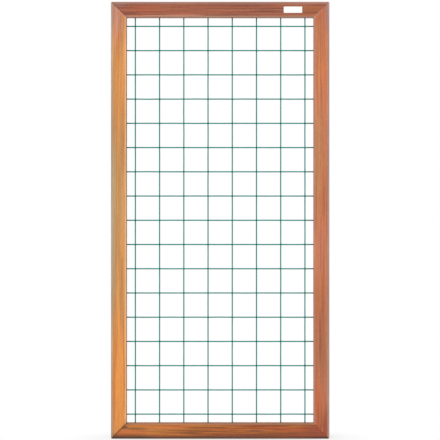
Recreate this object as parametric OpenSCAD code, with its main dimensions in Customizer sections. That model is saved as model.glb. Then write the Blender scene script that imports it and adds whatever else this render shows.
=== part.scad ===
// Garden trellis panel: a mitred hardwood frame, grooved along its inner edges,
// that holds a welded mesh of plastic-coated wires.
// Millimetres. The panel stands in the XZ plane with its front towards -Y and
// its origin at the middle of the bottom edge, half way through the thickness.

/* [Panel] */
// Overall width of the panel
panel_width = 900; // [600:10:1200]
// Overall height of the panel
panel_height = 1800; // [600:10:2400]

/* [Frame bars] */
// Width of each bar, seen from the front
bar_width = 65; // [58:1:90]
// Thickness of each bar, front to back
bar_depth = 42; // [34:1:60]
// Radius of the rounded long edges of a bar
arris_radius = 5; // [2:0.5:8]
// Radius sanded on the four outer corners of the frame
corner_radius = 6; // [1:0.5:10]
// Width of the bevel along each side of a mitre, front and back
mitre_bevel = 0.8; // [0.3:0.1:2]

/* [Wire mesh] */
// Distance from one wire to the next
mesh_pitch = 100; // [60:5:150]
// Diameter of a wire over its plastic coat
wire_diameter = 5; // [2.5:0.1:6]
// How far two crossing wires are pressed into each other by the weld
weld_set_down = 0.7; // [0.2:0.1:1.2]
// Least distance from a bar to the axis of the first wire along it
edge_gap = 25; // [10:1:60]

/* [Mesh groove] */
// How far the ends of the wires reach into the bars
wire_seat = 17; // [8:1:22]
// Space between the ends of the wires and the bottom of the groove
groove_end_clearance = 1; // [0.5:0.5:3]
// Space between the mesh and each side of the groove
groove_side_clearance = 0.1; // [0.05:0.05:0.5]

/* [Corner dowels] */
// Diameter of a dowel
dowel_diameter = 10; // [6:1:12]
// Length of a dowel, half of it in each bar
dowel_length = 40; // [30:1:50]
// Least wood between a dowel hole and the outside or the groove
dowel_wall = 4; // [2:0.5:6]
// Space around a dowel in its hole, taken up by glue
dowel_side_clearance = 0.05; // [0.02:0.01:0.2]
// Space past each end of a dowel in its hole
dowel_end_clearance = 1; // [0.5:0.5:3]
// Bevel on each end of a dowel
dowel_bevel = 1; // [0.5:0.1:2]
// Number of glue flutes along a dowel
flute_count = 12; // [6:1:16]
// Radius of a glue flute, which is cut half a radius deep
flute_radius = 0.5; // [0.3:0.1:0.7]

/* [Label plate] */
// Width of the plate
label_width = 76; // [40:1:110]
// Height of the plate
label_height = 26; // [15:1:40]
// Thickness of the plate
label_thickness = 0.6; // [0.3:0.1:2]
// Radius of the corners of the plate
label_corner = 2; // [0.5:0.5:5]
// Distance from the right side of the panel to the plate
label_inset = 112; // [90:1:200]
// Distance from the middle of the top rail down to the middle of the plate
label_drop = 0.5; // [0:0.5:4]

/* [Hidden] */
$fn = 64;

// Clear space inside the frame
opening_width = panel_width - 2 * bar_width;
opening_height = panel_height - 2 * bar_width;

// Wires that fit side by side, and their places from the middle of the panel
function wire_count(opening) = floor((opening - 2 * edge_gap) / mesh_pitch) + 1;
function wire_offset(number, count) = (number - (count + 1) / 2) * mesh_pitch;
columns = wire_count(opening_width);
rows = wire_count(opening_height);

// Upright wires lie behind the level ones, each half a weld's spacing from the middle of the bars
weld_spacing = wire_diameter - weld_set_down;
upright_wire_y = weld_spacing / 2;
level_wire_y = -weld_spacing / 2;

// The groove takes the whole thickness of the mesh
groove_width = weld_spacing + wire_diameter + 2 * groove_side_clearance;
groove_depth = wire_seat + groove_end_clearance;

// Places of the two dowels on a mitre, as distances in from the bars' inner edges
dowel_hole_diameter = dowel_diameter + 2 * dowel_side_clearance;
dowel_hole_length = dowel_length + 2 * dowel_end_clearance;
inner_dowel = groove_depth + dowel_wall + dowel_hole_diameter / 2 / sqrt(2);
outer_dowel = bar_width - dowel_wall - (dowel_hole_length + dowel_hole_diameter) / 2 / sqrt(2);
DOWELS = [["inner", inner_dowel], ["outer", outer_dowel]];

// Each corner's name, and its side of the panel along X and Z
CORNERS = [["bottom_left", -1, -1], ["bottom_right", 1, -1], ["top_left", -1, 1], ["top_right", 1, 1]];

// Reach of a cutter past the surface that it cuts
overcut = 1;

LEFT_STILE_COLOR = [0.84, 0.59, 0.37];
RIGHT_STILE_COLOR = [0.76, 0.48, 0.34];
TOP_RAIL_COLOR = [0.64, 0.39, 0.30];
BOTTOM_RAIL_COLOR = [0.67, 0.40, 0.25];
DOWEL_COLOR = [0.86, 0.71, 0.52];
WIRE_COLOR = [0.04, 0.38, 0.33];
LABEL_COLOR = [0.95, 0.96, 0.96];

// Rectangle with true round corners, centred
module rounded_rectangle(size, radius) {
    square([size.x - 2 * radius, size.y], center = true);
    square([size.x, size.y - 2 * radius], center = true);
    for (x = [-1, 1], y = [-1, 1])
        translate([x * (size.x / 2 - radius), y * (size.y / 2 - radius)])
            circle(radius);
}

// Cross-section of a bar: depth along X, and from the outer edge to the inner one along Y
module bar_section() {
    difference() {
        translate([0, bar_width / 2])
            rounded_rectangle([bar_depth, bar_width], arris_radius);
        translate([-groove_width / 2, bar_width - groove_depth])
            square([groove_width, groove_depth + overcut]);
    }
}

// Front outline of a bar: mitred at both ends, with its outer corners rounded
module bar_outline(length) {
    difference() {
        polygon([
            [-length / 2, 0],
            [length / 2, 0],
            [length / 2 - bar_width, bar_width],
            [-length / 2 + bar_width, bar_width]
        ]);
        for (side = [-1, 1])
            translate([side * (length / 2 - corner_radius), corner_radius])
                difference() {
                    translate([side * (corner_radius + overcut) / 2, -(corner_radius + overcut) / 2])
                        square(corner_radius + overcut, center = true);
                    circle(corner_radius);
                }
    }
}

// Places its children on a bar's right-hand mitre, X square to the mitre and Z along it,
// with the origin at a distance in from the inner edge
module on_mitre(length, from_inner_edge) {
    translate([length / 2 - bar_width + from_inner_edge, 0, bar_width - from_inner_edge])
        rotate([0, -45, 0])
            children();
}

// V-cut along the front or back of a mitre, half of it in each bar
module mitre_bevel_cut(length, face) {
    on_mitre(length, bar_width / 2)
        translate([0, face * bar_depth / 2, 0])
            rotate([0, 0, 45])
                cube([mitre_bevel * sqrt(2), mitre_bevel * sqrt(2), 2 * bar_width], center = true);
}

// Hole for one dowel, centred on the mitre
module dowel_hole(length, from_inner_edge) {
    on_mitre(length, from_inner_edge)
        rotate([0, 90, 0])
            cylinder(d = dowel_hole_diameter, h = dowel_hole_length, center = true);
}

// One bar lying along X, its outer edge on Z = 0 and its grooved inner edge upwards
module bar(length) {
    difference() {
        intersection() {
            rotate([90, 0, 90])
                linear_extrude(length, center = true)
                    bar_section();
            rotate([90, 0, 0])
                linear_extrude(bar_depth + 2 * overcut, center = true)
                    bar_outline(length);
        }
        for (end = [0, 1])
            mirror([end, 0, 0]) {
                for (face = [-1, 1])
                    mitre_bevel_cut(length, face);
                for (dowel = DOWELS)
                    dowel_hole(length, dowel[1]);
            }
    }
}

module bottom_rail() {
    color(BOTTOM_RAIL_COLOR)
        bar(panel_width);
}

module top_rail() {
    color(TOP_RAIL_COLOR)
        translate([0, 0, panel_height])
            rotate([0, 180, 0])
                bar(panel_width);
}

module left_stile() {
    color(LEFT_STILE_COLOR)
        translate([-panel_width / 2, 0, panel_height / 2])
            rotate([0, 90, 0])
                bar(panel_height);
}

module right_stile() {
    color(RIGHT_STILE_COLOR)
        translate([panel_width / 2, 0, panel_height / 2])
            rotate([0, -90, 0])
                bar(panel_height);
}

// Fluted dowel along X with bevelled ends, centred
module fluted_dowel() {
    rotate([0, 90, 0])
        intersection() {
            linear_extrude(dowel_length, center = true)
                difference() {
                    circle(d = dowel_diameter);
                    for (i = [0:flute_count - 1])
                        rotate(i * 360 / flute_count)
                            translate([dowel_diameter / 2 + flute_radius / 2, 0])
                                circle(flute_radius);
                }
            rotate_extrude()
                polygon([
                    [0, -dowel_length / 2],
                    [dowel_diameter / 2 - dowel_bevel, -dowel_length / 2],
                    [dowel_diameter / 2 + overcut, -dowel_length / 2 + dowel_bevel + overcut],
                    [dowel_diameter / 2 + overcut, dowel_length / 2 - dowel_bevel - overcut],
                    [dowel_diameter / 2 - dowel_bevel, dowel_length / 2],
                    [0, dowel_length / 2]
                ]);
        }
}

// Dowel square to the mitre at one corner, half in the stile and half in the rail
module corner_dowel(corner, from_inner_edge) {
    side = corner[1];
    end = corner[2];
    color(DOWEL_COLOR)
        translate([
            side * (opening_width / 2 + from_inner_edge),
            0,
            panel_height / 2 + end * (opening_height / 2 + from_inner_edge)
        ])
            rotate([0, side * end * 45, 0])
                fluted_dowel();
}

// Level wire, straight from stile to stile
module level_wire(number) {
    length = opening_width + 2 * wire_seat;
    color(WIRE_COLOR)
        translate([0, level_wire_y, panel_height / 2 + wire_offset(number, rows)])
            rotate([0, 90, 0])
                cylinder(d = wire_diameter, h = length, center = true);
}

// Upright wire from rail to rail, with a saddle pressed into it at each weld
module upright_wire(number) {
    length = opening_height + 2 * wire_seat;
    color(WIRE_COLOR)
        translate([wire_offset(number, columns), 0, panel_height / 2])
            difference() {
                translate([0, upright_wire_y, 0])
                    cylinder(d = wire_diameter, h = length, center = true);
                for (j = [1:rows])
                    translate([0, level_wire_y, wire_offset(j, rows)])
                        rotate([0, 90, 0])
                            cylinder(d = wire_diameter, h = 2 * wire_diameter, center = true);
            }
}

// Bare plate glued to the front of the top rail
module label_plate() {
    color(LABEL_COLOR)
        translate([
            panel_width / 2 - label_inset - label_width / 2,
            -bar_depth / 2,
            panel_height - bar_width / 2 - label_drop
        ])
            rotate([90, 0, 0])
                linear_extrude(label_thickness)
                    rounded_rectangle([label_width, label_height], label_corner);
}

left_stile();
right_stile();
top_rail();
bottom_rail();
for (corner = CORNERS, dowel = DOWELS)
    corner_dowel(corner, dowel[1]);
for (i = [1:columns])
    upright_wire(i);
for (j = [1:rows])
    level_wire(j);
label_plate();
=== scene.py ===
"""Dresses the garden trellis panel: timber bars, coated wire mesh, bare label plate, dowels and stage.

Lengths are in metres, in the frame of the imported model: +X to the right, +Y to the back and +Z up.
"""

import math
from typing import NamedTuple

import bpy
import numpy as np
from bpy.props import FloatProperty, FloatVectorProperty, PointerProperty
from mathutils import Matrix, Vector
from mathutils.geometry import delaunay_2d_cdt


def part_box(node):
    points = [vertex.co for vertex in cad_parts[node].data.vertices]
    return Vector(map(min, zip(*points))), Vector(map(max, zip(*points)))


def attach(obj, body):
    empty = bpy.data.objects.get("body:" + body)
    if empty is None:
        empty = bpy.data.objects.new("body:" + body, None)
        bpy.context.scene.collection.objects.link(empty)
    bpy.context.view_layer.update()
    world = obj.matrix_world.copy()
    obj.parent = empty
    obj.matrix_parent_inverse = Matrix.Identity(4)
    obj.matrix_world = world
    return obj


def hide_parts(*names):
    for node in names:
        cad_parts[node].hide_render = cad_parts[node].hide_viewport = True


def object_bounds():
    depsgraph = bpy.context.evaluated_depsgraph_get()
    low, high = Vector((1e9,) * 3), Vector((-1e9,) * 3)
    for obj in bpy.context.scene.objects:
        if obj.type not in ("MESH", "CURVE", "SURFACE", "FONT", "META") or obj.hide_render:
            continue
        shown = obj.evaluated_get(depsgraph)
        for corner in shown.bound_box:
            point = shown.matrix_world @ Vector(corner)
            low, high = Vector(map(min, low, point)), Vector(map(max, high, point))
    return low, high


bl_info = {
    "name": "Garden trellis panel",
    "version": (1, 0, 0),
    "blender": (4, 5, 0),
    "location": "3D View > Sidebar > Trellis",
    "description": "Timber frame with a welded mesh of coated wire for climbing plants",
    "category": "Object",
}

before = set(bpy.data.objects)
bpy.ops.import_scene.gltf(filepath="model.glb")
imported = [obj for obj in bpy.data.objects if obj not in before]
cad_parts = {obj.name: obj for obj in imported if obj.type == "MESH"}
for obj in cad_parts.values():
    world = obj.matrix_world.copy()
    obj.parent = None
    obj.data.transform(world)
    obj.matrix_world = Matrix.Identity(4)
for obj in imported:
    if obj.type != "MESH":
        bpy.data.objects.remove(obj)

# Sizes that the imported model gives
CAD_LOW, CAD_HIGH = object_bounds()
PANEL_WIDTH = CAD_HIGH.x - CAD_LOW.x
PANEL_HEIGHT = CAD_HIGH.z - CAD_LOW.z
STILE_LOW, STILE_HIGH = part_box("left_stile")
BAR_WIDTH = STILE_HIGH.x - STILE_LOW.x
BAR_DEPTH = STILE_HIGH.y - STILE_LOW.y
BAR_NAMES = ("left_stile", "right_stile", "top_rail", "bottom_rail")
DOWEL_NAMES = sorted(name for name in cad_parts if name.endswith("_dowel"))
UPRIGHT_COUNT = sum(name.startswith("upright_wire_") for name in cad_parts)
LEVEL_COUNT = sum(name.startswith("level_wire_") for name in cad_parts)
UPRIGHT_NAMES = [f"upright_wire_{place + 1}" for place in range(UPRIGHT_COUNT)]
LEVEL_NAMES = [f"level_wire_{place + 1}" for place in range(LEVEL_COUNT)]
UPRIGHT_LOW, UPRIGHT_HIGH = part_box(UPRIGHT_NAMES[0])
LEVEL_LOW, LEVEL_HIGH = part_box(LEVEL_NAMES[0])
WIRE_RADIUS = (LEVEL_HIGH.z - LEVEL_LOW.z) / 2
UPRIGHT_Y = UPRIGHT_HIGH.y - WIRE_RADIUS
LEVEL_Y = LEVEL_LOW.y + WIRE_RADIUS
COLUMNS_X = np.array([sum(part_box(name), Vector()).x / 2 for name in UPRIGHT_NAMES])
ROWS_Z = np.array([sum(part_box(name), Vector()).z / 2 for name in LEVEL_NAMES])
MESH_THICKNESS = UPRIGHT_HIGH.y - LEVEL_LOW.y
WIRE_SEAT = STILE_HIGH.x - LEVEL_LOW.x
LABEL_LOW, LABEL_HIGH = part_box("label_plate")

# Places of rings: lengths from a mitre, a wire's end and a weld, degrees up a web and shares of the floor
MITRE_RINGS = (0.0014, 0.0021, 0.003, 0.006, 0.012)
END_RINGS = (0.0, 0.0003, 0.0008)
WELD_RINGS = (0.0, 0.0005, 0.001, 0.0015, 0.002, 0.0026, 0.0034, 0.005, 0.008)
WEB_LEVELS = (-60.0, -25.0, 0.0, 25.0, 60.0)
FLOOR_RINGS = (1.0, 0.5, 0.25, 0.1)

# Spacings of rings, counts of points along and round the forms, and the angle that keeps an edge sharp
BAR_SPACING = 0.008
WIRE_SPACING = 0.015
LEAST_SPACING = 0.003
ARRIS_STEPS = 8
EDGE_STEPS = 8
FACE_STEPS = 12
LIP_STEPS = 6
EASE_STEPS = 3
GROOVE_STEPS = 4
HOLE_SIDES = 24
WIRE_SIDES = 16
WEB_SIDES = 12
LABEL_CORNER_POINTS = 9
LABEL_EASE_RINGS = 5
FLOOR_SIDES = 64
SHARP_ANGLE = math.radians(40.0)

# How a flat outline is filled: as valid faces with the holes left out
FILL_KIND = 5
FILL_TOLERANCE = 1e-9

# Wear of the arrises: rates of its sines in radians a metre, and what face, edge and bar add to the phase
WEAR_RATES = (7.0, 19.0, 43.0)
FACE_PHASE = 2.1
EDGE_PHASE = 1.3
BAR_PHASE = 0.7

# Reach of the swell from a weld and of the painted shade on the coat from a bar, and how far a cut end draws
# in
WELD_FALL = 0.004
BAR_SHADE_FALL = 0.02
CUT_SHRINK = 0.22

# Power of a web's superellipse, and the seeds that the wires stray by
WEB_POWER = 3.0
UPRIGHT_SEED = 11
LEVEL_SEED = 23

# Noise of the figure: cycles a metre along and across the grain, detail and roughness
FIGURE_NOISE = {
    "wander": (0.9, 4.0, 1.0, 0.5),
    "drift": (1.6, 5.0, 1.0, 0.5),
    "broad": (1.0, 56.0, 1.0, 0.5),
    "narrow": (2.4, 130.0, 2.0, 0.5),
    "line": (3.0, 190.0, 2.0, 0.6),
    "fibre": (16.0, 900.0, 2.0, 0.6),
    "pore": (70.0, 1500.0, 0.0, 0.5),
}

# Where most of a noise's values lie, and where nearly all do
NOISE_CORE = (0.3, 0.7)
NOISE_SPAN = (0.2, 0.8)

# How far streaks wander across the grain, and the plank length from the figure of one bar to the next
WANDER_REACH = 0.03
PLANK_LENGTH = 3.7

# How dark and rough the open pores are, and how far fibres stand up for each pore's depth
PORE_DARK = 0.55
PORE_ROUGH = 0.2
FIBRE_HEIGHT = 0.35

# How rough the groove's unoiled wood is and how far painted shade darkens it, how the coat darkens at welds,
# and how far painted shade darkens it near bars
RAW_ROUGH = 0.3
RAW_SHADE_SHARE = 0.8
WELD_DARK = 0.45
BAR_SHADE_DARK = 0.8

# Fades of a bar's tints: lengths beside the painted highlight of an arris, along a pale mitre, from a stain
# and into the groove
ARRIS_FADE = 0.004
PALE_MITRE = (0.015, 0.045)
STAIN_SPREAD = 0.0014
GROOVE_FADE = 0.002

# Fades as shares: of the reach of the outer edge's painted sheen and shade, and of an arris from its tangent
# line to the side that faces the mesh
OUTER_FADE = (0.3, 1.0)
ARRIS_TURN = (0.4, 0.9)
OPENING_TURN = (0.5, 1.0)

# Marks in the figure of each bar: middle along the bar from its top or left, middle across it from its
# left or bottom, length, width, colour and strength
GRAIN_MARKS = {
    "left_stile": (
        (0.03, 0.026, 0.38, 0.100, "salmon", 0.85),
        (0.18, 0.033, 0.24, 0.014, "russet", 0.40),
        (0.09, 0.026, 0.16, 0.006, "rose", 0.70),
        (0.10, 0.045, 0.14, 0.006, "rose", 0.80),
        (0.15, 0.055, 0.28, 0.007, "honey", 0.85),
        (0.36, 0.036, 0.50, 0.120, "honey", 0.35),
        (0.85, 0.016, 1.30, 0.070, "tan", 0.85),
        (0.92, 0.012, 1.20, 0.022, "sage", 0.60),
        (0.98, 0.0064, 1.10, 0.007, "mauve", 0.60),
        (1.06, 0.056, 0.84, 0.026, "tan", 0.80),
        (1.56, 0.032, 0.44, 0.036, "russet", 0.22),
        (1.60, 0.036, 0.90, 0.120, "honey", 0.70),
        (1.64, 0.012, 0.36, 0.012, "russet", 0.40),
        (0.03, 0.015, 0.22, 0.070, "mauve", 0.35),
        (1.73, 0.004, 0.26, 0.028, "umber", 0.34),
        (1.79, 0.010, 0.05, 0.036, "umber", 0.40),
    ),
    "right_stile": (
        (0.02, 0.036, 0.24, 0.140, "russet", 0.55),
        (0.26, 0.036, 0.50, 0.050, "russet", 0.35),
        (0.24, 0.030, 0.05, 0.006, "umber", 0.70),
        (0.26, 0.025, 0.42, 0.030, "honey", 0.30),
        (0.57, 0.026, 0.40, 0.034, "umber", 0.14),
        (1.40, 0.043, 0.75, 0.012, "salmon", 0.45),
        (0.66, 0.016, 0.60, 0.050, "tan", 0.35),
        (1.00, 0.032, 0.36, 0.100, "salmon", 0.45),
        (1.45, 0.040, 0.80, 0.100, "umber", 0.30),
        (1.40, 0.028, 0.30, 0.012, "umber", 0.45),
        (1.62, 0.040, 0.24, 0.080, "salmon", 0.35),
        (1.66, 0.022, 0.26, 0.040, "russet", 0.75),
        (1.78, 0.044, 0.26, 0.090, "mahogany", 0.80),
        (1.72, 0.020, 0.22, 0.006, "umber", 0.50),
        (1.70, 0.050, 0.25, 0.007, "mahogany", 0.70),
        (1.765, 0.036, 0.06, 0.005, "rose", 0.45),
        (1.05, 0.056, 1.70, 0.011, "umber", 0.20),
        (0.03, 0.054, 0.20, 0.040, "mauve", 0.50),
    ),
    "top_rail": (
        (0.130, 0.038, 0.26, 0.080, "russet", 0.35),
        (0.075, 0.016, 0.09, 0.014, "umber", 0.70),
        (0.020, 0.054, 0.10, 0.020, "umber", 0.20),
        (0.020, 0.056, 0.14, 0.034, "mauve", 0.50),
        (0.160, 0.022, 0.26, 0.007, "umber", 0.30),
        (0.560, 0.050, 0.34, 0.008, "umber", 0.35),
        (0.280, 0.008, 0.36, 0.010, "rose", 0.30),
        (0.500, 0.0145, 0.40, 0.007, "umber", 0.30),
        (0.825, 0.034, 0.16, 0.070, "russet", 0.55),
        (0.825, 0.034, 0.16, 0.060, "olive", 0.40),
    ),
    "bottom_rail": (
        (0.14, 0.036, 0.50, 0.090, "honey", 0.40),
        (0.10, 0.041, 0.13, 0.014, "olive", 0.85),
        (0.42, 0.051, 0.42, 0.018, "honey", 0.45),
        (0.75, 0.053, 0.20, 0.010, "honey", 0.30),
        (0.30, 0.040, 0.40, 0.009, "umber", 0.22),
        (0.66, 0.028, 0.26, 0.010, "umber", 0.30),
        (0.47, 0.021, 0.24, 0.008, "umber", 0.25),
        (0.59, 0.033, 0.11, 0.009, "umber", 0.80),
        (0.70, 0.020, 0.34, 0.014, "umber", 0.35),
        (0.76, 0.036, 0.22, 0.016, "russet", 0.50),
        (0.88, 0.034, 0.30, 0.140, "mahogany", 0.75),
        (0.16, 0.030, 0.20, 0.006, "olive", 0.70),
        (0.27, 0.050, 0.16, 0.008, "russet", 0.60),
        (0.30, 0.024, 0.25, 0.007, "olive", 0.40),
        (0.44, 0.036, 0.20, 0.010, "russet", 0.60),
        (0.62, 0.018, 0.20, 0.007, "olive", 0.50),
        (0.66, 0.048, 0.22, 0.012, "russet", 0.60),
        (0.80, 0.026, 0.20, 0.007, "umber", 0.35),
        (0.052, 0.047, 0.04, 0.012, "umber", 0.80),
        (0.085, 0.030, 0.16, 0.022, "russet", 0.50),
        (0.490, 0.012, 0.50, 0.019, "umber", 0.55),
    ),
}


class BarFinish(NamedTuple):
    """How one bar has weathered, and the light and shade painted on it.

    lines: strength of the dark lines in its figure.
    outer: strength of the outer edge's painted colour, a painted sheen on the stiles and the top rail and a
    painted shade on the bottom rail, and how far that reaches over the faces.
    inner: strength of the painted highlight on the inner arris, and its share where the arris turns to the
    side that faces the mesh.
    mitres: stain at a stile's top or a rail's left, and at its other end. Below zero the joint is pale.
    painted_light: how pale painted light makes the side that faces the mesh, where it lies in shade.
    """

    lines: float
    outer: tuple
    inner: tuple
    mitres: tuple
    painted_light: float = 0.0


# The outer strengths paint a sheen on the outer edge, a shade on the bottom rail's, and the inner ones a
# highlight on the inner arris
BAR_FINISHES = {
    "left_stile": BarFinish(lines=0.55, outer=(0.90, 0.010), inner=(0.85, 0.0), mitres=(-0.6, 0.75)),
    "right_stile": BarFinish(lines=0.40, outer=(0.85, 0.011), inner=(0.85, 1.0), mitres=(-0.6, 0.0)),
    "top_rail": BarFinish(
        lines=0.80, outer=(0.85, 0.014), inner=(0.80, 1.0), mitres=(0.5, -0.4), painted_light=1.0
    ),
    "bottom_rail": BarFinish(lines=0.80, outer=(0.95, 0.016), inner=(0.85, 1.0), mitres=(0.95, 0.0)),
}


def srgb(red, green, blue):
    """A colour written as 0 to 255 on a screen, as Blender's linear red, green, blue and alpha."""
    share = np.array((red, green, blue)) / 255
    linear = np.where(share <= 0.04045, share / 12.92, ((share + 0.055) / 1.055) ** 2.4)
    return (*linear.tolist(), 1.0)


def number_property(name, default, description, **kind):
    """A number that a user would change, with its limits, unit or subtype."""
    return FloatProperty(name=name, default=default, description=description, **kind)


def length_property(name, default, description):
    """A length that a user would change."""
    return number_property(name, default, description, min=0.0, unit="LENGTH")


def colour_property(name, default, description):
    """A colour that a user would change."""
    return FloatVectorProperty(
        name=name, default=default, description=description, subtype="COLOR", size=4, min=0.0, max=1.0
    )


class TrellisSizes(bpy.types.PropertyGroup):
    """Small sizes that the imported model's boxes don't give."""

    arris_radius: length_property("Arris radius", 0.005, "Rounding along the long edges of the bars")
    arris_wear: length_property("Arris wear", 0.0003, "How much deeper sanding cut the arrises in places")
    corner_radius: length_property("Corner radius", 0.006, "Rounding of the frame's outer corners")
    mitre_bevel: length_property("Mitre bevel", 0.0008, "Bevel along the edges of the mitres")
    groove_side: length_property("Groove side clearance", 0.0001, "Room between mesh and groove wall")
    groove_end: length_property("Groove end clearance", 0.001, "Room between wire end and groove floor")
    groove_ease: length_property("Groove ease", 0.0004, "Rounding at the mouth of the groove")
    dowel_diameter: length_property("Dowel diameter", 0.010, "Diameter of the dowels in the mitres")
    dowel_length: length_property("Dowel length", 0.040, "Length of the dowels in the mitres")
    dowel_side: length_property("Dowel side clearance", 0.00005, "Room round a dowel")
    dowel_end: length_property("Dowel end clearance", 0.001, "Room past the end of a dowel")
    coat_swell: length_property("Coat swell", 0.00012, "How much thicker the coat is near a weld")
    wire_stray: length_property("Wire stray", 0.00018, "How far a wire strays from straight between welds")
    weld_reach: length_property("Weld reach", 0.0030, "Half width of the coat's web at a crossing")
    weld_height: length_property("Weld height", 0.0013, "Half thickness of the coat's web at a crossing")
    label_corner: length_property("Label corner radius", 0.002, "Rounding of the label plate's corners")
    label_ease: length_property("Label edge ease", 0.00025, "Rounding along the label plate's front edge")


class TrellisColours(bpy.types.PropertyGroup):
    """Colours of the four bars, the mesh, the label plate and the dowels."""

    left_stile_pale: colour_property("Left stile pale", srgb(206, 150, 92), "Tan streaks")
    left_stile_tone: colour_property("Left stile tone", srgb(219, 141, 68), "Orange ground")
    left_stile_deep: colour_property("Left stile deep", srgb(176, 104, 46), "Dark lines")
    # The outer colour is a painted sheen on the outer edge, the inner one a painted highlight on the inner
    # arris
    left_stile_outer: colour_property("Left stile outer", srgb(174, 160, 146), "Weathered outer edge")
    left_stile_inner: colour_property("Left stile inner", srgb(244, 190, 142), "Rubbed inner arris")
    right_stile_pale: colour_property("Right stile pale", srgb(204, 128, 86), "Pinkish streaks")
    right_stile_tone: colour_property("Right stile tone", srgb(186, 106, 66), "Orange red ground")
    right_stile_deep: colour_property("Right stile deep", srgb(134, 72, 50), "Dark lines")
    # The outer colour is a painted sheen on the outer edge, the inner one a painted highlight on the inner
    # arris
    right_stile_outer: colour_property("Right stile outer", srgb(190, 158, 147), "Weathered outer edge")
    right_stile_inner: colour_property("Right stile inner", srgb(182, 126, 110), "Rubbed inner arris")
    top_rail_pale: colour_property("Top rail pale", srgb(176, 102, 72), "Pinkish streaks")
    top_rail_tone: colour_property("Top rail tone", srgb(148, 80, 54), "Red brown ground")
    top_rail_deep: colour_property("Top rail deep", srgb(108, 58, 46), "Dark lines")
    # The outer colour is a painted sheen on the outer edge, the inner one a painted highlight on the inner
    # arris
    top_rail_outer: colour_property("Top rail outer", srgb(168, 125, 111), "Weathered outer edge")
    top_rail_inner: colour_property("Top rail inner", srgb(186, 144, 122), "Rubbed inner arris")
    bottom_rail_pale: colour_property("Bottom rail pale", srgb(186, 107, 46), "Ochre streaks")
    bottom_rail_tone: colour_property("Bottom rail tone", srgb(150, 71, 33), "Red brown ground")
    bottom_rail_deep: colour_property("Bottom rail deep", srgb(92, 52, 30), "Dark lines")
    # The outer colour is a painted shade on the lower edge, the inner one a painted highlight on the inner
    # arris
    bottom_rail_outer: colour_property("Bottom rail outer", srgb(58, 45, 40), "Damp lower edge")
    bottom_rail_inner: colour_property("Bottom rail inner", srgb(166, 122, 94), "Rubbed inner arris")
    tan: colour_property("Tan", srgb(192, 144, 88), "Greyish tan marks in the figure")
    salmon: colour_property("Salmon", srgb(204, 128, 98), "Pinkish marks in the figure")
    # Rose also paints the pale mitres and the painted light on the top rail's underside
    rose: colour_property("Rose", srgb(228, 172, 146), "Pale pink marks in the figure")
    honey: colour_property("Honey", srgb(226, 144, 66), "Bright orange marks in the figure")
    sage: colour_property("Sage", srgb(188, 164, 118), "Greyish green marks in the figure")
    mauve: colour_property("Mauve", srgb(160, 122, 116), "Weathered marks in the figure")
    olive: colour_property("Olive", srgb(124, 88, 46), "Greenish brown marks in the figure")
    russet: colour_property("Russet", srgb(190, 94, 52), "Orange red marks in the figure")
    mahogany: colour_property("Mahogany", srgb(148, 72, 50), "Dark red marks in the figure")
    umber: colour_property("Umber", srgb(104, 58, 46), "Dark marks in the figure")
    mitre_stain: colour_property("Mitre stain", srgb(84, 46, 28), "Dark wood at the mitres")
    # Unoiled wood of the grooves, darkened by painted shade in the recess
    raw_shaded_groove: colour_property("Raw groove", srgb(112, 72, 48), "Unfinished wood in the grooves")
    coat: colour_property("Coat", srgb(0, 146, 133), "Plastic coat of the wires")
    # Coat dark also gives the painted shade on the coat close to the bars
    coat_dark: colour_property("Coat dark", srgb(0, 78, 72), "Coat where it gathers at the welds")
    label: colour_property("Label", srgb(250, 250, 247), "Bare label plate")
    label_smear: colour_property("Label smear", srgb(239, 239, 236), "Smears on the label plate")
    dowel_pale: colour_property("Dowel pale", srgb(226, 196, 150), "Light fibre of the dowels")
    dowel_deep: colour_property("Dowel deep", srgb(186, 148, 104), "Dark fibre of the dowels")


class TrellisStage(bpy.types.PropertyGroup):
    """Camera, lamp and floor."""

    camera_distance: length_property("Camera distance", 9.0, "Camera to the middle of the panel")
    camera_side: number_property("Camera side", -0.0006, "Camera to the right of the middle", unit="LENGTH")
    camera_rise: number_property("Camera rise", 0.0011, "Camera above the middle", unit="LENGTH")
    lens: number_property("Lens", 178.4, "Focal length", subtype="DISTANCE_CAMERA")
    sensor: number_property("Sensor", 36.0, "Width of the sensor", subtype="DISTANCE_CAMERA")
    key_strength: number_property("Key strength", 2.25, "Strength of the main lamp")
    key_spread: number_property("Key spread", math.radians(40.0), "Width of the main lamp", subtype="ANGLE")
    key_from: FloatVectorProperty(
        name="Key from", default=(-0.35, -0.85, 0.32), description="Way to the main lamp", subtype="XYZ"
    )
    fill_strength: number_property("Fill strength", 0.4, "Light from all round")
    floor_radius: length_property("Floor radius", 4.0, "Radius of the floor disc")
    floor_bounce: number_property("Floor bounce", 0.55, "Share of the light that the floor throws back")
    floor_white: number_property("Floor white", 0.6, "How plain white the floor is beside the panel")
    shadow_near: length_property("Shadow near", 0.25, "Where the shadow on the floor begins to fade")
    shadow_far: length_property("Shadow far", 0.7, "Where the floor is plain white")
    shadow_squeeze: number_property("Shadow squeeze", 1.6, "How much sooner it fades to front and back")


def add_node(tree, kind, inputs=(), **settings):
    """Adds a node, makes its settings, and links or fills its inputs by name or place."""
    node = tree.nodes.new(kind)
    for name, value in settings.items():
        setattr(node, name, value)
    for key, value in dict(inputs).items():
        if isinstance(value, bpy.types.NodeSocket):
            tree.links.new(value, node.inputs[key])
        else:
            node.inputs[key].default_value = value
    return node


def maths(tree, operation, first, second=0.0):
    """One sum of two values."""
    return add_node(tree, "ShaderNodeMath", {0: first, 1: second}, operation=operation).outputs[0]


def vector_maths(tree, operation, first, second):
    """One sum of two vectors."""
    return add_node(tree, "ShaderNodeVectorMath", {0: first, 1: second}, operation=operation).outputs[0]


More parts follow.
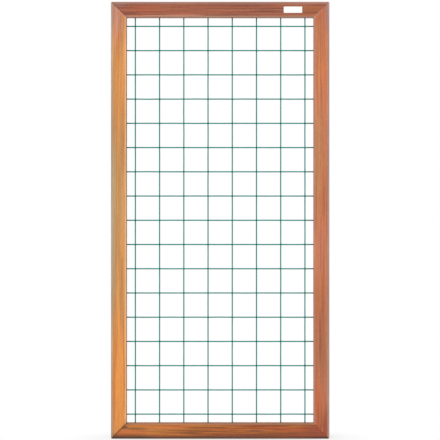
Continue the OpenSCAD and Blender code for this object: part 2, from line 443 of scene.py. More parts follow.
def soft_range(tree, value, reach, results=(0.0, 1.0)):
    """A soft step of a value over a reach from low to high, from one result to the other."""
    inputs = {0: value, 1: reach[0], 2: reach[1], 3: results[0], 4: results[1]}
    return add_node(tree, "ShaderNodeMapRange", inputs, interpolation_type="SMOOTHSTEP").outputs[0]


def blend(tree, share, first, second):
    """A mix of two colours by share."""
    inputs = {0: share, 6: first, 7: second}
    return add_node(tree, "ShaderNodeMix", inputs, data_type="RGBA", clamp_factor=True).outputs[2]


def shaded(tree, colour, shade):
    """A colour made lighter or darker by a value."""
    return add_node(tree, "ShaderNodeVectorMath", {0: colour, "Scale": shade}, operation="SCALE").outputs[0]


def tinted(tree, mask, colour, tint, shade):
    """A colour that turns to a tint where a mask says, with the tint shaded as the figure is."""
    return blend(tree, mask, colour, shaded(tree, tint[:3], shade))


def noise(tree, point, stretch, detail=2.0, roughness=0.5):
    """Noise with its own scale along each axis, in cycles a metre."""
    scaled = vector_maths(tree, "MULTIPLY", point, stretch)
    inputs = {"Vector": scaled, "Scale": 1.0, "Detail": detail, "Roughness": roughness}
    return add_node(tree, "ShaderNodeTexNoise", inputs).outputs


def attribute(tree, name):
    """A mask that the piece's mesh carries."""
    return add_node(tree, "ShaderNodeAttribute", attribute_name=name).outputs["Fac"]


def panel_point(tree):
    """The point in the panel's frame, where every piece has its origin."""
    return add_node(tree, "ShaderNodeTexCoord").outputs["Object"]


def new_group(name, inputs, outputs):
    """A shader node group with named sockets. Gives the group, its inputs and its output node."""
    group = bpy.data.node_groups.new(name, "ShaderNodeTree")
    for in_out, sockets in (("INPUT", inputs), ("OUTPUT", outputs)):
        for label, kind in sockets.items():
            group.interface.new_socket(label, in_out=in_out, socket_type=f"NodeSocket{kind}")
    source = group.nodes.new("NodeGroupInput")
    target = group.nodes.new("NodeGroupOutput")
    return group, source.outputs, target.inputs


def figure_noise(group, point, layer):
    """One layer of the figure's noise, drawn out along the grain."""
    along, across, detail, roughness = FIGURE_NOISE[layer]
    return noise(group, point, (along, across, across), detail, roughness)


def hardwood_figure():
    """Figure of a straight hardwood, from a point measured along, into and across the grain.

    Noise drawn out along the grain gives broad and narrow streaks of tone, dark lines, fibre and open
    pores. The streaks wander a little across the grain, and the tone drifts slowly along the bar.
    """
    known = bpy.data.node_groups.get("Hardwood figure")
    if known:
        return known
    inputs = {"Grain": "Vector", "Pale": "Color", "Tone": "Color", "Deep": "Color", "Lines": "Float"}
    outputs = {"Color": "Color", "Roughness": "Float", "Height": "Float", "Line": "Float", "Shade": "Float"}
    group, source, target = new_group("Hardwood figure", inputs, outputs)
    wander = figure_noise(group, source["Grain"], "wander")["Color"]
    stray = vector_maths(group, "SUBTRACT", wander, (0.5, 0.5, 0.5))
    stray = vector_maths(group, "MULTIPLY", stray, (0.0, WANDER_REACH, WANDER_REACH))
    grain = vector_maths(group, "ADD", source["Grain"], stray)
    drift = figure_noise(group, source["Grain"], "drift")["Fac"]
    layers = ("broad", "narrow", "line", "fibre", "pore")
    broad, narrow, line, fibre, pore = (figure_noise(group, grain, layer)["Fac"] for layer in layers)

    # Tone: the broad streaks, moved by the drift and the narrow ones, with dark lines over them
    share = soft_range(group, broad, (0.34, 0.66))
    share = maths(group, "ADD", share, soft_range(group, drift, NOISE_CORE, (-0.3, 0.3)))
    share = maths(group, "ADD", share, soft_range(group, narrow, NOISE_CORE, (-0.35, 0.35)))
    colour = blend(group, share, source["Pale"], source["Tone"])
    dark = maths(group, "MULTIPLY", soft_range(group, line, (0.48, 0.66)), source["Lines"])
    colour = blend(group, dark, colour, source["Deep"])

    # Shade: lighter and darker streaks and fibres, and pores that are darker still
    streak = soft_range(group, narrow, (0.34, 0.66), (0.88, 1.13))
    fleck = soft_range(group, fibre, (0.25, 0.75), (0.88, 1.12))
    shade = maths(group, "MULTIPLY", streak, fleck)
    colour = shaded(group, colour, shade)
    open_pore = soft_range(group, pore, (0.66, 0.74))
    colour = blend(group, maths(group, "MULTIPLY", open_pore, PORE_DARK), colour, source["Deep"])

    # Surface: rough fibres, with pores that are rougher and sink in
    rough = soft_range(group, fibre, NOISE_SPAN, (0.42, 0.54))
    rough = maths(group, "ADD", rough, maths(group, "MULTIPLY", open_pore, PORE_ROUGH))
    height = maths(group, "SUBTRACT", maths(group, "MULTIPLY", fibre, FIBRE_HEIGHT), open_pore)
    results = {"Color": colour, "Roughness": rough, "Height": height, "Line": line, "Shade": shade}
    for label, value in results.items():
        group.links.new(value, target[label])
    return group


def grain_mark():
    """One mark in the figure: 1 in the middle of a long ellipse along the grain, 0 past its rim.

    It falls softly from one to the other, and the fine lines of the figure feather it along the grain.
    """
    known = bpy.data.node_groups.get("Grain mark")
    if known:
        return known
    vectors = dict.fromkeys(("Grain", "Middle", "Stretch"), "Vector")
    numbers = dict.fromkeys(("Line", "Strength"), "Float")
    group, source, target = new_group("Grain mark", vectors | numbers, {"Mask": "Float"})
    away = vector_maths(group, "SUBTRACT", source["Grain"], source["Middle"])
    away = vector_maths(group, "MULTIPLY", away, source["Stretch"])
    reach = add_node(group, "ShaderNodeVectorMath", {0: away}, operation="LENGTH").outputs["Value"]
    feather = soft_range(group, source["Line"], NOISE_CORE, (-0.3, 0.3))
    mask = soft_range(group, maths(group, "ADD", reach, feather), (0.25, 1.0), (1.0, 0.0))
    group.links.new(maths(group, "MULTIPLY", mask, source["Strength"]), target["Mask"])
    return group


def new_material(name):
    """A material with its node tree and its Principled shader."""
    material = bpy.data.materials.new(name)
    material.use_nodes = True
    tree = material.node_tree
    return material, tree, tree.nodes["Principled BSDF"]


def feed(tree, shader, colour, rough, height, strength, distance):
    """Feeds a colour, a roughness and a height, as a bump, into the shader."""
    inputs = {"Strength": strength, "Distance": distance, "Height": height}
    bump = add_node(tree, "ShaderNodeBump", inputs).outputs["Normal"]
    for value, socket in ((colour, "Base Color"), (rough, "Roughness"), (bump, "Normal")):
        tree.links.new(value, shader.inputs[socket])


def grain_point(tree, bar):
    """The point in a bar's own grain: along from the top or left, into the depth, and across."""
    low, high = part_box(bar)
    upright = bar.endswith("stile")
    turn = (0.0, -math.pi / 2, 0.0) if upright else (0.0, 0.0, 0.0)
    place = (high.z, 0.0, -low.x) if upright else (-low.x, 0.0, -low.z)
    inputs = {"Vector": panel_point(tree), "Location": place, "Rotation": turn}
    return add_node(tree, "ShaderNodeMapping", inputs).outputs[0]


def bar_timber(bar, colours):
    """Oiled hardwood of one bar, with grain marks and stained mitres, painted sheen, shade and highlight on
    its edges, painted light on the top rail's underside and an unoiled groove with painted shade.
    """
    material, tree, shader = new_material(f"{bar}_timber")
    finish = BAR_FINISHES[bar]
    point = grain_point(tree, bar)
    plank = vector_maths(tree, "ADD", point, (PLANK_LENGTH * (1 + BAR_NAMES.index(bar)), 0.0, 0.0))
    inputs = {
        "Grain": plank,
        "Pale": getattr(colours, f"{bar}_pale"),
        "Tone": getattr(colours, f"{bar}_tone"),
        "Deep": getattr(colours, f"{bar}_deep"),
        "Lines": finish.lines,
    }
    figure = add_node(tree, "ShaderNodeGroup", inputs, node_tree=hardwood_figure()).outputs
    colour = figure["Color"]
    for along, across, length, width, tint, strength in GRAIN_MARKS[bar]:
        inputs = {
            "Grain": point,
            "Middle": (along, 0.0, across),
            "Stretch": (2.0 / length, 0.0, 2.0 / width),
            "Line": figure["Line"],
            "Strength": strength,
        }
        mask = add_node(tree, "ShaderNodeGroup", inputs, node_tree=grain_mark()).outputs["Mask"]
        colour = tinted(tree, mask, colour, getattr(colours, tint), figure["Shade"])
    # The outer edge takes a painted sheen, on the bottom rail a painted shade, and the inner arris a painted
    # highlight
    broken = soft_range(tree, figure["Line"], NOISE_CORE, (0.75, 1.0))
    for edge, strength in (("outer", finish.outer[0]), ("inner", finish.inner[0])):
        mask = maths(tree, "MULTIPLY", attribute(tree, edge), maths(tree, "MULTIPLY", broken, strength))
        colour = tinted(tree, mask, colour, getattr(colours, f"{bar}_{edge}"), figure["Shade"])
    # The stain darkens the mitres; below zero it turns the wood rose, at the pale mitres and as painted light
    # on the top rail's underside
    stain = attribute(tree, "stain")
    colour = blend(tree, stain, colour, colours.mitre_stain)
    colour = blend(tree, maths(tree, "MULTIPLY", stain, -1.0), colour, colours.rose)
    # The groove, the mitre faces and the dowel holes turn to unoiled wood with painted shade, and rougher
    raw_and_shade = attribute(tree, "groove")
    colour = blend(tree, maths(tree, "MULTIPLY", raw_and_shade, RAW_SHADE_SHARE), colour, colours.raw_shaded_groove)
    rough = maths(tree, "ADD", figure["Roughness"], maths(tree, "MULTIPLY", raw_and_shade, RAW_ROUGH))
    shader.inputs["Specular IOR Level"].default_value = 0.25
    feed(tree, shader, colour, rough, figure["Height"], strength=0.5, distance=0.0002)
    return material


def dowel_beech(colours):
    """Dry pale wood of the dowels, with short fibre."""
    material, tree, shader = new_material("dowel_beech")
    point = panel_point(tree)
    fibre = noise(tree, point, (220.0, 700.0, 220.0))["Fac"]
    colour = blend(tree, soft_range(tree, fibre, NOISE_CORE), colours.dowel_pale, colours.dowel_deep)
    rough = soft_range(tree, fibre, NOISE_SPAN, (0.6, 0.75))
    feed(tree, shader, colour, rough, fibre, strength=0.4, distance=0.0002)
    return material


def coated_wire(colours):
    """Plastic coat of the wires, with a faint orange peel, darker at the welds, and with painted shade close
    to the bars.
    """
    known = bpy.data.materials.get("green_coat")
    if known:
        return known
    material, tree, shader = new_material("green_coat")
    point = panel_point(tree)
    cloud = noise(tree, point, (26.0, 26.0, 26.0))["Fac"]
    peel = noise(tree, point, (900.0, 900.0, 900.0), detail=1.0)["Fac"]
    weld = maths(tree, "MULTIPLY", attribute(tree, "weld"), WELD_DARK)
    # Painted shade on the coat close to the bars
    grime = maths(tree, "MULTIPLY", attribute(tree, "grime"), BAR_SHADE_DARK)
    share = maths(tree, "ADD", weld, grime)
    share = maths(tree, "ADD", share, soft_range(tree, cloud, (0.35, 0.8), (0.0, 0.25)))
    colour = blend(tree, share, colours.coat, colours.coat_dark)
    rough = soft_range(tree, cloud, NOISE_SPAN, (0.36, 0.48))
    shader.inputs["IOR"].default_value = 1.2
    shader.inputs["Specular IOR Level"].default_value = 0.3
    feed(tree, shader, colour, rough, peel, strength=0.25, distance=0.0001)
    return material


def label_plastic(colours):
    """Bare white plastic with faint smears."""
    material, tree, shader = new_material("label_plastic")
    point = panel_point(tree)
    smear = noise(tree, point, (45.0, 45.0, 160.0), detail=3.0, roughness=0.6)["Fac"]
    share = soft_range(tree, smear, (0.5, 0.85), (0.0, 0.6))
    colour = blend(tree, share, colours.label, colours.label_smear)
    rough = soft_range(tree, smear, (0.3, 0.8), (0.28, 0.46))
    feed(tree, shader, colour, rough, smear, strength=0.1, distance=0.0001)
    return material


def soft_step(low, high, value):
    """A step from 0 at low to 1 at high, level at both ends: three t squared less two t cubed."""
    share = np.clip((value - low) / (high - low), 0.0, 1.0)
    return share * share * (3.0 - 2.0 * share)


def arc(centre, radius, start, stop, steps=ARRIS_STEPS):
    """Points of an arc in degrees, without the last one: centre plus radius times cosine and sine."""
    angle = np.radians(np.linspace(start, stop, steps, endpoint=False))
    return np.asarray(centre) + radius * np.column_stack((np.cos(angle), np.sin(angle)))


def flat(start, stop, steps):
    """Points of a straight stretch, without the last one, closer together near both ends."""
    share = 0.5 - 0.5 * np.cos(np.pi * np.linspace(0.0, 1.0, steps, endpoint=False))
    return np.asarray(start) + share[:, None] * (np.asarray(stop) - np.asarray(start))


def grid_quads(rows, columns):
    """Quads between closed rows of points, which lie one row after the other."""
    row = columns * np.arange(rows - 1)[:, None]
    column = np.arange(columns)
    after = (column + 1) % columns
    corners = (row + column, row + after, row + columns + after, row + columns + column)
    return np.stack(corners, axis=-1).reshape(-1, 4)


def tube_faces(rows, columns, starts=(0,)):
    """Faces of tubes of closed rings, with a cap at each end, for tubes whose points begin at the starts."""
    start = np.asarray(starts)[:, None, None]
    ring = np.arange(columns)
    caps = np.stack((ring[::-1], (rows - 1) * columns + ring))
    sides = (grid_quads(rows, columns) + start).reshape(-1, 4)
    return sides.tolist() + (caps + start).reshape(-1, columns).tolist()


def add_piece(name, points, faces, material, nodes=(), masks=None):
    """Puts points, faces and masks into a smooth mesh piece that rides on the panel."""
    mesh = bpy.data.meshes.new(name)
    mesh.from_pydata(points.tolist(), [], faces)
    if mesh.validate():
        raise RuntimeError(f"the mesh of {name} has faulty faces")
    mesh.polygons.foreach_set("use_smooth", np.ones(len(mesh.polygons), bool))
    mesh.set_sharp_from_angle(angle=SHARP_ANGLE)
    for label, values in (masks or {}).items():
        mesh.attributes.new(label, "FLOAT", "POINT").data.foreach_set("value", values.ravel())
    mesh.materials.append(material)
    piece = bpy.data.objects.new(name, mesh)
    bpy.context.scene.collection.objects.link(piece)
    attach(piece, "root")
    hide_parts(*nodes)


def bar_profile(sizes):
    """Section of a bar as depth and across, anticlockwise: four round arrises and the mesh groove."""
    half = BAR_DEPTH / 2
    arris = sizes.arris_radius
    wall = MESH_THICKNESS / 2 + sizes.groove_side
    floor = BAR_WIDTH - WIRE_SEAT - sizes.groove_end
    ease = sizes.groove_ease
    mouth = BAR_WIDTH - ease
    near, far = arris, BAR_WIDTH - arris
    return np.vstack(
        (
            flat((arris - half, 0.0), (half - arris, 0.0), EDGE_STEPS),
            arc((half - arris, near), arris, -90, 0),
            flat((half, near), (half, far), FACE_STEPS),
            arc((half - arris, far), arris, 0, 90),
            flat((half - arris, BAR_WIDTH), (wall + ease, BAR_WIDTH), LIP_STEPS),
            arc((wall + ease, mouth), ease, 90, 180, EASE_STEPS),
            flat((wall, mouth), (wall, floor), GROOVE_STEPS),
            flat((wall, floor), (-wall, floor), GROOVE_STEPS),
            flat((-wall, floor), (-wall, mouth), GROOVE_STEPS),
            arc((-wall - ease, mouth), ease, 0, 90, EASE_STEPS),
            flat((-wall - ease, BAR_WIDTH), (arris - half, BAR_WIDTH), LIP_STEPS),
            arc((arris - half, far), arris, 90, 180),
            flat((-half, far), (-half, near), FACE_STEPS),
            arc((arris - half, near), arris, 180, 270),
        )
    )


def mitre_end(outline, sizes, side, half_length, first, start):
    """The mitre face at one end of a bar, with two blind holes for dowels.

    The face is the section's outline filled round two circles. A hole is its circle carried into the
    bar, square to the mitre. The outline's points are in the mesh already, from number first on, and
    the new points begin at number start. Side is -1 at the bar's start and 1 at its end.
    """
    count = HOLE_SIDES
    radius = sizes.dowel_diameter / 2 + sizes.dowel_side
    depth = sizes.dowel_length / 2 + sizes.dowel_end
    ring = arc((0.0, 0.0), radius, 0, 360, count)
    centres = [sum(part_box(f"bottom_left_{place}_dowel"), Vector()).z / 2 for place in ("inner", "outer")]
    slope = math.sqrt(2.0)
    circles = [ring + (0.0, centre * slope) for centre in centres]
    flat_points = np.vstack((outline * (1.0, slope), *circles))
    loops = np.cumsum([0, len(outline), count, count])
    rims = [list(range(low, high)) for low, high in zip(loops[:-1], loops[1:])]
    filled = delaunay_2d_cdt([Vector(point) for point in flat_points], [], rims, FILL_KIND, FILL_TOLERANCE)
    if len(filled[0]) != len(flat_points):
        raise RuntimeError("the mitre face came out with other points than its outline and holes")
    original = [sources[0] for sources in filled[3]]
    number = np.concatenate((np.arange(first, first + len(outline)), np.arange(start, start + 2 * count)))
    faces = [[int(number[original[corner]]) for corner in face] for face in filled[2]]
    bottom = start + 2 * count
    rim = np.vstack(circles) / (1.0, slope)
    reach = depth / slope
    mouth_points = np.column_stack((side * (half_length - rim[:, 1]), rim))
    floor_points = mouth_points - (side * reach, 0.0, reach)
    for hole in (0, count):
        column = np.arange(count)
        after = (column + 1) % count
        corners = (start + hole + column, start + hole + after, bottom + hole + after, bottom + hole + column)
        faces += np.stack(corners, axis=-1).tolist()
        faces.append((bottom + hole + column).tolist())
    if side < 0:
        faces = [face[::-1] for face in faces]
    return np.vstack((mouth_points, floor_points)), faces


def arris_shares(section, sizes):
    """How far round its arris each point of a section lies, to the face and to the edge.

    A share is 0 on the arris's tangent line, 1 on the side of the bar, and below zero before the arris.
    """
    from_middle = np.abs(section - (0.0, BAR_WIDTH / 2))
    short_of_side = (BAR_DEPTH / 2, BAR_WIDTH / 2) - from_middle
    return (1.0 - short_of_side / sizes.arris_radius).T


def bar_rings(section, half_length, sizes):
    """A bar's section carried along it. Gives along, depth and across, and the distance to a mitre.

    Each point starts and stops on the mitre planes, at half the length less its own distance from the
    outer edge. The outer corners are rounded by lifting the outer edge onto an arc.
    """
    depth, across = section.T
    corner = sizes.corner_radius
    edge = np.maximum(across, corner * (1.0 - math.sqrt(0.5)))
    near_end = np.array((0.0, sizes.mitre_bevel, *MITRE_RINGS))
    middle = np.linspace(-1.0, 1.0, int(half_length / BAR_SPACING))[1:-1, None]
    along = np.vstack(
        (
            near_end[:, None] + edge - half_length,
            middle * (half_length - edge - near_end[-1]),
            half_length - edge - near_end[::-1, None],
        )
    )
    rounded = np.clip(np.abs(along) - (half_length - corner), 0.0, corner)
    across = np.maximum(across, corner - np.sqrt(corner**2 - rounded**2))
    to_mitre = np.abs(half_length - np.abs(along) - edge) / math.sqrt(2.0)
    return along, np.broadcast_to(depth, along.shape), across, to_mitre


def bar_masks(bar, section, rings, to_mitre, sizes):
    """Masks on a bar's rings for its timber: outer edge, inner arris, mitre stain and unoiled groove.

    Each edge is a soft step of its distance: the outer edge carries a painted sheen, on the bottom rail a
    painted shade, and the inner arris a painted highlight.
    The stain falls from the mitre by a share for every length; below zero it is pale wood at a mitre, and
    painted light on the side that faces the mesh. The groove is unoiled wood with painted shade.
    """
    finish = BAR_FINISHES[bar]
    along, depth, across = rings
    face, edge = arris_shares(section, sizes)
    inward = section[:, 1] > BAR_WIDTH / 2
    # The inner arris carries a painted highlight
    arris = inward * soft_step(-ARRIS_FADE / sizes.arris_radius, 0.0, np.minimum(face, edge))
    lost = (1.0 - finish.inner[1]) * soft_step(*ARRIS_TURN, edge)
    first_end = along < 0.0 if bar in ("left_stile", "bottom_rail") else along > 0.0
    stain = np.where(first_end, *finish.mitres)
    pale = np.where(stain < 0.0, soft_step(*PALE_MITRE, across), 1.0)
    stain = stain * pale * np.exp(-to_mitre / (STAIN_SPREAD * (1.0 + np.abs(stain))))
    # Painted light: the side that faces the mesh lies in shade and is made pale
    painted_light = finish.painted_light * inward * soft_step(*OPENING_TURN, edge)
    between_walls = np.abs(depth) < MESH_THICKNESS / 2 + 2 * sizes.groove_side
    past_floor = across > BAR_WIDTH - WIRE_SEAT - 2 * sizes.groove_end
    # The outer mask carries a painted sheen, on the bottom rail a painted shade, and the groove mask unoiled
    # wood with painted shade
    return {
        "outer": 1.0 - soft_step(*OUTER_FADE, across / finish.outer[1]),
        "inner": np.broadcast_to(arris * (1.0 - lost), along.shape),
        "stain": stain - painted_light,
        "groove": between_walls * past_floor * soft_step(0.0, GROOVE_FADE, BAR_WIDTH - across),
    }


def placed_bar(bar, points):
    """Turns a bar's own along, depth and across into the panel's frame, for each side of the panel."""
    along, depth, across = points.T
    middle = (CAD_LOW.z + CAD_HIGH.z) / 2
    places = {
        "bottom_rail": (along, depth, CAD_LOW.z + across),
        "top_rail": (-along, depth, CAD_HIGH.z - across),
        "left_stile": (CAD_LOW.x + across, depth, middle - along),
        "right_stile": (CAD_HIGH.x - across, depth, middle + along),
    }
    return np.column_stack(places[bar])


def bar_surface(bar, sizes):
    """A bar's points in the panel's frame, its faces and its masks.

    The arrises of its rings are cut deeper in places by a sum of sines. The two end rings are drawn in
    to bevel the edges of the mitres, and a face with holes for the dowels closes each end.
    """
    half_length = (PANEL_HEIGHT if bar.endswith("stile") else PANEL_WIDTH) / 2
    section = bar_profile(sizes)
    along, depth, across, to_mitre = bar_rings(section, half_length, sizes)
    face, edge = np.maximum(arris_shares(section, sizes), 0.0)
    back, inward = np.sign(section - (0.0, BAR_WIDTH / 2)).T
    phase = FACE_PHASE * back + EDGE_PHASE * inward + BAR_PHASE * BAR_NAMES.index(bar)
    wave = sum(np.sin(rate * along + turn * phase) for turn, rate in enumerate(WEAR_RATES, 1))
    cut = sizes.arris_wear * face * edge * (1.0 + wave / len(WEAR_RATES))
    depth = depth - back * face * cut
    across = across - inward * edge * cut
    limit = BAR_DEPTH / 2 - sizes.mitre_bevel
    depth[[0, -1]] = np.clip(depth[[0, -1]], -limit, limit)

    rows, columns = along.shape
    points = np.stack((along, depth, across), axis=-1).reshape(-1, 3)
    faces = grid_quads(rows, columns).tolist()
    for side, first in ((-1, 0), (1, (rows - 1) * columns)):
        outline = points[first : first + columns, 1:]
        end_points, end_faces = mitre_end(outline, sizes, side, half_length, first, len(points))
        points = np.vstack((points, end_points))
        faces += end_faces

    # The mitre faces and the dowel holes are unoiled wood with painted shade, as the groove is
    end_count = len(points) - along.size
    masks = {}
    for label, mask in bar_masks(bar, section, (along, depth, across), to_mitre, sizes).items():
        masks[label] = np.append(mask, np.full(end_count, float(label == "groove")))
    return placed_bar(bar, points), faces, masks


def wire_stations(low, high, crossings):
    """Places of the rings along a wire: close together at its ends and at each weld."""
    near_end = np.array(END_RINGS)
    near_weld = np.array(WELD_RINGS)
    between = np.linspace(low, high, int((high - low) / WIRE_SPACING))[1:-1]
    clear = np.abs(between[:, None] - crossings).min(axis=1) > near_weld[-1] + LEAST_SPACING
    welds = (crossings[:, None] + np.concatenate((-near_weld[:0:-1], near_weld))).ravel()
    return np.unique(np.concatenate((low + near_end, between[clear], welds, high - near_end)))


def wire_tube(low, high, crossings, sizes, draw):
    """A coated wire from low to high along its axis.

    Gives the stations, the section's two coordinates at each, and two masks: one falls off from each
    weld as a bell curve, the other from each bar by a share for every length. A ring is a circle
    whose radius swells near each weld as a bell curve and draws in at the cut ends. Between two welds
    the middle strays as the square of a sine, by an amount drawn from the seeded generator.
    """
    station = wire_stations(low, high, crossings)
    angle = np.linspace(0.0, 2.0 * np.pi, WIRE_SIDES, endpoint=False)
    gap = np.abs(station[:, None] - crossings).min(axis=1)
    weld = np.exp(-((gap / WELD_FALL) ** 2))
    to_end = np.minimum(station - low, high - station)
    drawn_in = CUT_SHRINK * (1.0 - soft_step(0.0, END_RINGS[-1], to_end))
    radius = WIRE_RADIUS * (1.0 - drawn_in) + sizes.coat_swell * weld
    cell = np.clip(np.searchsorted(crossings, station, side="right") - 1, 0, len(crossings) - 2)
    share = np.clip((station - crossings[cell]) / (crossings[cell + 1] - crossings[cell]), 0.0, 1.0)
    most = draw.normal(0.0, sizes.wire_stray, (2, len(crossings) - 1))
    stray = most[:, cell] * np.sin(np.pi * share) ** 2
    first = stray[0][:, None] + radius[:, None] * np.cos(angle)
    second = stray[1][:, None] + radius[:, None] * np.sin(angle)
    # Painted shade: a mask that falls off from each bar by a share for every length
    grime = np.exp(-np.clip(to_end - WIRE_SEAT, 0.0, None) / BAR_SHADE_FALL)
    rings = np.ones_like(first)
    masks = {"weld": weld[:, None] * rings, "grime": grime[:, None] * rings}
    return station[:, None] * rings, first, second, masks


def add_wire(name, points, coat, masks):
    """Adds one coated wire from its rings of points."""
    faces = tube_faces(*points.shape[:2])
    add_piece(f"{name}_coat", points.reshape(-1, 3), faces, coat, (name,), masks)


class TRELLIS_OT_bars(bpy.types.Operator):
    """Makes the four mitred timber bars of the frame"""

    bl_idname = "trellis.bars"
    bl_label = "Timber bars"

    def execute(self, context):
        for bar in BAR_NAMES:
            points, faces, masks = bar_surface(bar, context.scene.trellis_sizes)
            timber = bar_timber(bar, context.scene.trellis_colours)
            add_piece(f"{bar}_timber", points, faces, timber, (bar,), masks)
        return {"FINISHED"}


class TRELLIS_OT_dowels(bpy.types.Operator):
    """Gives the dowels in the mitres their dry pale wood"""

    bl_idname = "trellis.dowels"
    bl_label = "Dowels"

    def execute(self, context):
        beech = dowel_beech(context.scene.trellis_colours)
        for name in DOWEL_NAMES:
            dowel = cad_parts[name]
            dowel.data.materials.clear()
            dowel.data.materials.append(beech)
        return {"FINISHED"}


class TRELLIS_OT_upright_wires(bpy.types.Operator):
    """Makes the upright wires, each with a saddle for every level wire

    A saddle is the front of the wire held back to the level wire's round back.
    """

    bl_idname = "trellis.upright_wires"
    bl_label = "Upright wires"

    def execute(self, context):
        coat = coated_wire(context.scene.trellis_colours)
        sizes = context.scene.trellis_sizes
        draw = np.random.default_rng(UPRIGHT_SEED)
        for name, column in zip(UPRIGHT_NAMES, COLUMNS_X):
            z, x, y, masks = wire_tube(UPRIGHT_LOW.z, UPRIGHT_HIGH.z, ROWS_Z, sizes, draw)
            reach = np.abs(z[:, :1] - ROWS_Z).min(axis=1)[:, None]
            back = LEVEL_Y + np.sqrt(np.clip(WIRE_RADIUS**2 - reach**2, 0.0, None))
            depth = np.where(reach < WIRE_RADIUS, np.maximum(UPRIGHT_Y + y, back), UPRIGHT_Y + y)
            add_wire(name, np.stack((column + x, depth, z), axis=-1), coat, masks)
        return {"FINISHED"}


class TRELLIS_OT_level_wires(bpy.types.Operator):
    """Makes the level wires, which lie in front of the upright ones"""

    bl_idname = "trellis.level_wires"
    bl_label = "Level wires"

    def execute(self, context):
        coat = coated_wire(context.scene.trellis_colours)
        sizes = context.scene.trellis_sizes
        draw = np.random.default_rng(LEVEL_SEED)
        for name, row in zip(LEVEL_NAMES, ROWS_Z):
            x, y, z, masks = wire_tube(LEVEL_LOW.x, LEVEL_HIGH.x, COLUMNS_X, sizes, draw)
            add_wire(name, np.stack((x, LEVEL_Y + y, row + z), axis=-1), coat, masks)
        return {"FINISHED"}


class TRELLIS_OT_welds(bpy.types.Operator):
    """Makes the web of coat round every weld

    A web is a flat pillow between the two wires: a superellipse in the mesh's plane, whose half width
    falls as a cosine and whose height rises as a sine from its rim to its middle.
    """

    bl_idname = "trellis.welds"
    bl_label = "Weld webs"

    def execute(self, context):
        sizes = context.scene.trellis_sizes
        turn = np.linspace(0.0, 2.0 * np.pi, WEB_SIDES, endpoint=False)
        level = np.radians(WEB_LEVELS)[:, None]
        spread = np.abs(np.cos(turn)) ** WEB_POWER + np.abs(np.sin(turn)) ** WEB_POWER
        spread = spread ** (-1.0 / WEB_POWER)
        wide = sizes.weld_reach * np.cos(level) * spread
        x = wide * np.sin(turn)
        z = wide * np.cos(turn)
        y = (UPRIGHT_Y + LEVEL_Y) / 2 + sizes.weld_height * np.sin(level) + np.zeros_like(x)
        web = np.stack((x, y, z), axis=-1).reshape(-1, 3)
        middles = np.stack(np.meshgrid(COLUMNS_X, [0.0], ROWS_Z, indexing="ij"), axis=-1).reshape(-1, 1, 3)
        points = (middles + web).reshape(-1, 3)
        faces = tube_faces(*x.shape, starts=np.arange(0, len(points), len(web)))
        coat = coated_wire(context.scene.trellis_colours)
        add_piece("weld_webs", points, faces, coat, (), {"weld": np.ones(len(points))})
        return {"FINISHED"}


class TRELLIS_OT_label(bpy.types.Operator):
    """Makes the bare label plate on the top rail

    Its outline is a quarter turn about the middle of each corner. Rings of it, drawn in along a
    quarter circle, ease the front edge.
    """

    bl_idname = "trellis.label"
    bl_label = "Label plate"

    def execute(self, context):
        sizes = context.scene.trellis_sizes
        corner = sizes.label_corner
        half_width = (LABEL_HIGH.x - LABEL_LOW.x) / 2 - corner
        half_height = (LABEL_HIGH.z - LABEL_LOW.z) / 2 - corner
        middle = (LABEL_LOW + LABEL_HIGH) / 2
        quarter = np.linspace(0.0, 90.0, LABEL_CORNER_POINTS)
        turn = np.radians((90.0 * np.arange(4)[:, None] + quarter).ravel())
        side = np.repeat(((1, 1), (-1, 1), (-1, -1), (1, -1)), len(quarter), axis=0)
        reach = side * (half_width, half_height)
        ease = sizes.label_ease
        bend = np.radians(np.linspace(0.0, 90.0, LABEL_EASE_RINGS))
        drawn = np.concatenate(([0.0], ease * (1.0 - np.cos(bend))))
        rise = np.concatenate(([LABEL_HIGH.y], LABEL_LOW.y + ease * (1.0 - np.sin(bend))))
        radius = (corner - drawn)[:, None]
        x = middle.x + reach[:, 0] + radius * np.cos(turn)
        z = middle.z + reach[:, 1] + radius * np.sin(turn)
        y = rise[:, None] + np.zeros_like(x)
        points = np.stack((x, y, z), axis=-1).reshape(-1, 3)
        plastic = label_plastic(context.scene.trellis_colours)
        faces = tube_faces(*x.shape)
        add_piece("label_plate_plastic", points, faces, plastic, ("label_plate",))
        return {"FINISHED"}


def seen_directly(tree):
    """1 for rays from the camera, from a reflection or through glass, which see a white surround."""
    path = add_node(tree, "ShaderNodeLightPath").outputs
    seen = maths(tree, "MAXIMUM", path["Is Camera Ray"], path["Is Glossy Ray"])
    return maths(tree, "MAXIMUM", seen, path["Is Transmission Ray"])


def set_world(scene, fill):
    """A white surround where it is seen, and an even fill where it lights."""
    world = bpy.data.worlds.new("surround")
    world.use_nodes = True
    scene.world = world
    tree = world.node_tree
    strength = add_node(tree, "ShaderNodeMapRange", {0: seen_directly(tree), 3: fill, 4: 1.0}).outputs[0]
    background = tree.nodes["Background"]
    background.inputs["Color"].default_value = (1.0, 1.0, 1.0, 1.0)
    tree.links.new(strength, background.inputs["Strength"])


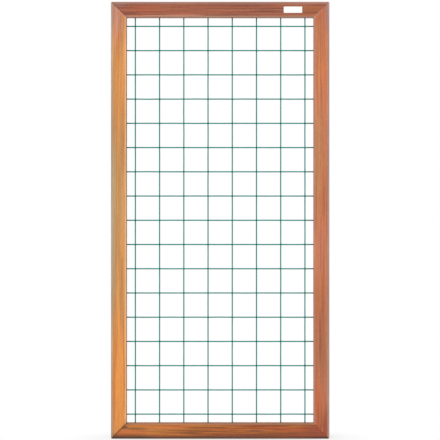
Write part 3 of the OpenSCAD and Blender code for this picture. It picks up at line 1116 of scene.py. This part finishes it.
def floor_paint(values):
    """White paint that shows the panel's shadow close by, and glows plain white further off."""
    material, tree, shader = new_material("floor_paint")
    tree.nodes.remove(shader)
    point = panel_point(tree)
    from_panel = vector_maths(tree, "MULTIPLY", point, (1.0, values.shadow_squeeze, 0.0))
    distance = add_node(tree, "ShaderNodeVectorMath", {0: from_panel}, operation="LENGTH").outputs["Value"]
    reach = (values.shadow_near, values.shadow_far)
    white = soft_range(tree, distance, reach, (values.floor_white, 1.0))
    seen = seen_directly(tree)
    share = maths(tree, "MULTIPLY", white, seen)
    bounce = values.floor_bounce
    shade = blend(tree, seen, (bounce, bounce, bounce, 1.0), (1.0, 1.0, 1.0, 1.0))
    paint = add_node(tree, "ShaderNodeBsdfDiffuse", {"Color": shade}).outputs[0]
    glow = add_node(tree, "ShaderNodeEmission", {"Strength": 1.0}).outputs[0]
    mixed = add_node(tree, "ShaderNodeMixShader", {0: share, 1: paint, 2: glow}).outputs[0]
    tree.links.new(mixed, tree.nodes["Material Output"].inputs["Surface"])
    return material


def add_floor(scene, values):
    """A floor disc of rings about the panel's foot, closed by one face in the middle."""
    turn = np.linspace(0.0, 2.0 * np.pi, FLOOR_SIDES, endpoint=False)
    rings = values.floor_radius * np.array(FLOOR_RINGS)[:, None]
    x = rings * np.cos(turn)
    y = rings * np.sin(turn)
    points = np.stack((x, y, np.full_like(x, CAD_LOW.z)), axis=-1).reshape(-1, 3)
    inside = list(range(len(points) - FLOOR_SIDES, len(points)))
    mesh = bpy.data.meshes.new("floor")
    mesh.from_pydata(points.tolist(), [], [*grid_quads(*x.shape).tolist(), inside])
    mesh.materials.append(floor_paint(values))
    floor = bpy.data.objects.new("floor", mesh)
    scene.collection.objects.link(floor)


class TRELLIS_OT_stage(bpy.types.Operator):
    """Makes the camera, the lamp, the light from all round and the white floor"""

    bl_idname = "trellis.stage"
    bl_label = "Stage"

    def execute(self, context):
        values = context.scene.trellis_stage
        context.scene.view_settings.view_transform = "Standard"
        middle = (CAD_LOW + CAD_HIGH) / 2
        camera = bpy.data.objects.new("camera", bpy.data.cameras.new("camera"))
        camera.data.lens = values.lens
        camera.data.sensor_width = values.sensor
        camera.location = (values.camera_side, -values.camera_distance, middle.z + values.camera_rise)
        camera.rotation_euler = (math.pi / 2, 0.0, 0.0)
        context.scene.collection.objects.link(camera)
        context.scene.camera = camera
        lamp = bpy.data.lights.new("key", "SUN")
        lamp.energy = values.key_strength
        lamp.angle = values.key_spread
        key = bpy.data.objects.new("key", lamp)
        key.rotation_mode = "QUATERNION"
        key.rotation_quaternion = Vector(values.key_from).to_track_quat("Z", "Y")
        context.scene.collection.objects.link(key)
        set_world(context.scene, values.fill_strength)
        add_floor(context.scene, values)
        return {"FINISHED"}


OPERATORS = (
    TRELLIS_OT_stage,
    TRELLIS_OT_bars,
    TRELLIS_OT_dowels,
    TRELLIS_OT_upright_wires,
    TRELLIS_OT_level_wires,
    TRELLIS_OT_welds,
    TRELLIS_OT_label,
)


class TRELLIS_PT_panel(bpy.types.Panel):
    """Lists the pieces and the values that shape them"""

    bl_idname = "TRELLIS_PT_panel"
    bl_label = "Garden trellis panel"
    bl_space_type = "VIEW_3D"
    bl_region_type = "UI"
    bl_category = "Trellis"

    def draw(self, context):
        for operator in OPERATORS:
            self.layout.operator(operator.bl_idname)
        scene = context.scene
        for values in (scene.trellis_sizes, scene.trellis_colours, scene.trellis_stage):
            box = self.layout.box()
            for name in values.__annotations__:
                box.prop(values, name)


CLASSES = (TrellisSizes, TrellisColours, TrellisStage, *OPERATORS, TRELLIS_PT_panel)


def register():
    for each in CLASSES:
        bpy.utils.register_class(each)
    bpy.types.Scene.trellis_sizes = PointerProperty(type=TrellisSizes)
    bpy.types.Scene.trellis_colours = PointerProperty(type=TrellisColours)
    bpy.types.Scene.trellis_stage = PointerProperty(type=TrellisStage)


def unregister():
    del bpy.types.Scene.trellis_stage
    del bpy.types.Scene.trellis_colours
    del bpy.types.Scene.trellis_sizes
    for each in reversed(CLASSES):
        bpy.utils.unregister_class(each)


def main():
    register()
    bpy.ops.trellis.stage()
    bpy.ops.trellis.bars()
    bpy.ops.trellis.dowels()
    bpy.ops.trellis.upright_wires()
    bpy.ops.trellis.level_wires()
    bpy.ops.trellis.welds()
    bpy.ops.trellis.label()


if __name__ == "__main__":
    main()
